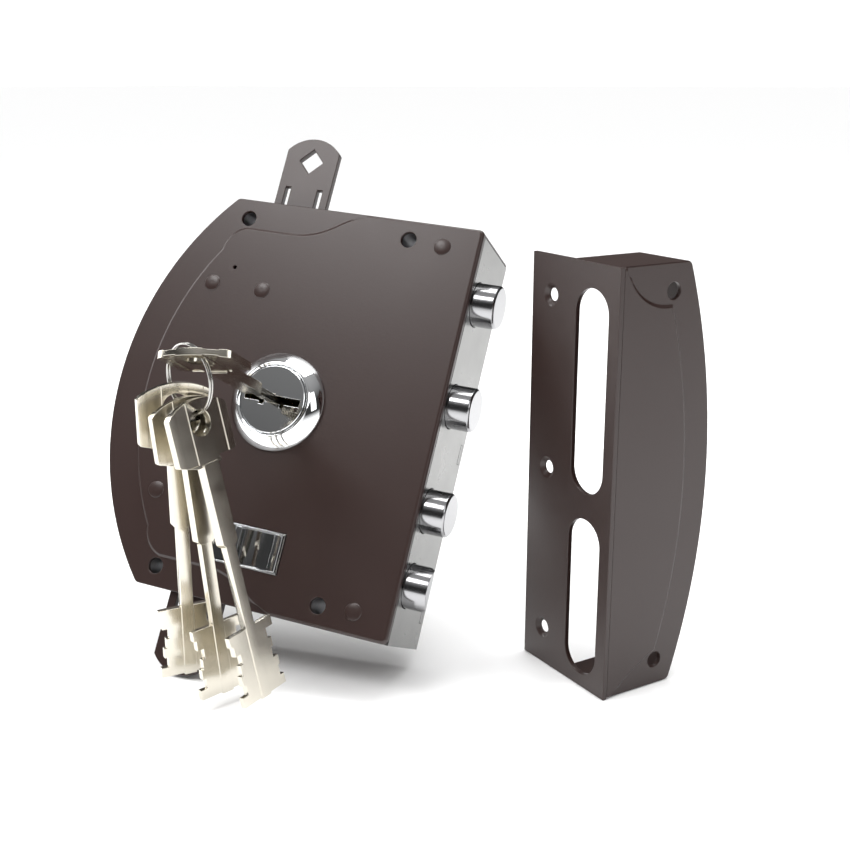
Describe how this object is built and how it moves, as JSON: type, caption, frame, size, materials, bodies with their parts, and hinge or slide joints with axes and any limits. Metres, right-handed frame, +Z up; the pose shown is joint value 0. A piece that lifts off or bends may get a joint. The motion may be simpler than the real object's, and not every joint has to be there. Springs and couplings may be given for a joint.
{
  "type": "door lock",
  "caption": "Surface mounted security lock with round deadbolts, spring latch, rod lugs, double-bit keys on a ring and a matching keeper.",
  "frame": {"origin": "the key's axis where it meets the door's face, as the set lies in the picture: the lock reclined 27 degrees and rolled 5.3 degrees, the keeper beside it", "axes": "+X across the lock towards its bolts, +Y away from the viewer into the door's side, +Z up"},
  "size_m": [0.2487, 0.1542, 0.2093],
  "materials": {
    "bronze_paint": "semi-gloss metallic brown",
    "chrome": "polished chrome plate",
    "nickel": "polished nickel on brass",
    "zinc": "bright zinc plate",
    "steel": "plain pressed steel",
    "spring_steel": "spring steel wire",
    "brass": "turned brass"
  },
  "bodies": {
    "case": {"front_cover": "bronze_paint", "back_plate": "zinc", "bolt_guide_plate": "zinc", "mounting_sleeve_1": "zinc", "mounting_sleeve_2": "zinc", "mounting_sleeve_3": "zinc", "mounting_sleeve_4": "zinc", "strip_rivets": "bronze_paint", "strap_rivets": "bronze_paint", "carrier_posts": "steel", "upper_lug_strap": "steel", "upper_strap_spacers": "steel", "lower_lug_strap": "steel", "lower_strap_spacers": "steel", "latch_bracket": "steel", "latch_spring": "spring_steel", "thumb_bezel": "chrome", "rosette": "chrome", "rosette_nut": "brass", "disc_retainer": "brass", "rear_disc_collar": "brass", "lever_spring_bar": "steel", "lever_spring_1": "spring_steel", "lever_spring_2": "spring_steel", "lever_spring_3": "spring_steel", "lever_spring_4": "spring_steel", "keeper_plate": "bronze_paint", "keeper_cover": "bronze_paint"},
    "rotor": {"keyway_disc": "chrome", "rear_keyway_disc": "brass"},
    "key": {"inserted_key": "nickel"},
    "ring": {"key_ring": "chrome"},
    "spare_key_1": {"hanging_key_1": "nickel"},
    "spare_key_2": {"hanging_key_2": "nickel"},
    "spare_key_3": {"hanging_key_3": "nickel"},
    "carrier": {"bolt_carrier": "steel", "deadbolt_1": "chrome", "deadbolt_2": "chrome", "deadbolt_3": "chrome", "bolt_pins": "steel", "bolt_stump": "steel"},
    "upper_lug": {"upper_rod_lug": "bronze_paint", "upper_lug_stud": "steel"},
    "lower_lug": {"lower_rod_lug": "bronze_paint", "lower_lug_stud": "steel"},
    "latch": {"latch_bolt": "chrome", "latch_tail": "steel", "latch_pin": "steel", "thumb_slide": "chrome"},
    "lever_1": {"lever_1": "brass"},
    "lever_2": {"lever_2": "brass"},
    "lever_3": {"lever_3": "brass"},
    "lever_4": {"lever_4": "brass"}
  },
  "joints": [
    {"name": "key_turn", "type": "hinge", "parent": "case", "child": "rotor", "pos_m": [0, 0, 0], "axis": [0, 0.891, -0.454], "range_deg": [-360, 720]},
    {"name": "key_pull", "type": "slide", "parent": "rotor", "child": "key", "axis": [0, -0.891, 0.454], "range_m": [0, 0.118]},
    {"name": "bolt_throw", "type": "slide", "parent": "case", "child": "carrier", "axis": [0.9957, -0.0419, -0.0823], "range_m": [-0.01, 0.02]},
    {"name": "upper_rod_slide", "type": "slide", "parent": "case", "child": "upper_lug", "axis": [0.0924, 0.452, 0.8872], "range_m": [-0.005, 0.01]},
    {"name": "lower_rod_slide", "type": "slide", "parent": "case", "child": "lower_lug", "axis": [-0.0924, -0.452, -0.8872], "range_m": [-0.005, 0.01]},
    {"name": "latch_slide", "type": "slide", "parent": "case", "child": "latch", "axis": [0.9957, -0.0419, -0.0823], "range_m": [-0.01, 0], "stiffness_N_per_m": 350, "springref_m": 0.012, "deforming": ["latch_spring"]},
    {"name": "lever_lift_1", "type": "slide", "parent": "case", "child": "lever_1", "axis": [0.0924, 0.452, 0.8872], "range_m": [-0.003, 0.003], "stiffness_N_per_m": 60, "deforming": ["lever_spring_1"]},
    {"name": "lever_lift_2", "type": "slide", "parent": "case", "child": "lever_2", "axis": [0.0924, 0.452, 0.8872], "range_m": [-0.003, 0.003], "stiffness_N_per_m": 60, "deforming": ["lever_spring_2"]},
    {"name": "lever_lift_3", "type": "slide", "parent": "case", "child": "lever_3", "axis": [0.0924, 0.452, 0.8872], "range_m": [-0.003, 0.003], "stiffness_N_per_m": 60, "deforming": ["lever_spring_3"]},
    {"name": "lever_lift_4", "type": "slide", "parent": "case", "child": "lever_4", "axis": [0.0924, 0.452, 0.8872], "range_m": [-0.003, 0.003], "stiffness_N_per_m": 60, "deforming": ["lever_spring_4"]},
    {"name": "ring_swing", "type": "hinge", "parent": "key", "child": "ring", "pos_m": [-0.0062, -0.0966, 0.05011], "axis": [0.9063, -0.4226, 0], "range_deg": [-25, 4]},
    {"name": "spare_key_swing_1", "type": "hinge", "parent": "ring", "child": "spare_key_1", "pos_m": [-0.01393, -0.093, 0.03199], "axis": [-0.7431, 0.6691, 0], "range_deg": [-5, 12]},
    {"name": "spare_key_swing_2", "type": "hinge", "parent": "ring", "child": "spare_key_2", "pos_m": [-0.00804, -0.09574, 0.02896], "axis": [-0.8698, 0.4848, -0.0914], "range_deg": [-5, 12]},
    {"name": "spare_key_swing_3", "type": "hinge", "parent": "ring", "child": "spare_key_3", "pos_m": [-0.0016, -0.09875, 0.02983], "axis": [-0.9403, 0.2756, -0.1999], "range_deg": [-5, 12]}
  ],
  "couplings": [
    {"joint": "bolt_throw", "follows": "key_turn", "m_per_rad": 0.0015915},
    {"joint": "upper_rod_slide", "follows": "key_turn", "m_per_rad": 0.00079577},
    {"joint": "lower_rod_slide", "follows": "key_turn", "m_per_rad": 0.00079577}
  ]
}
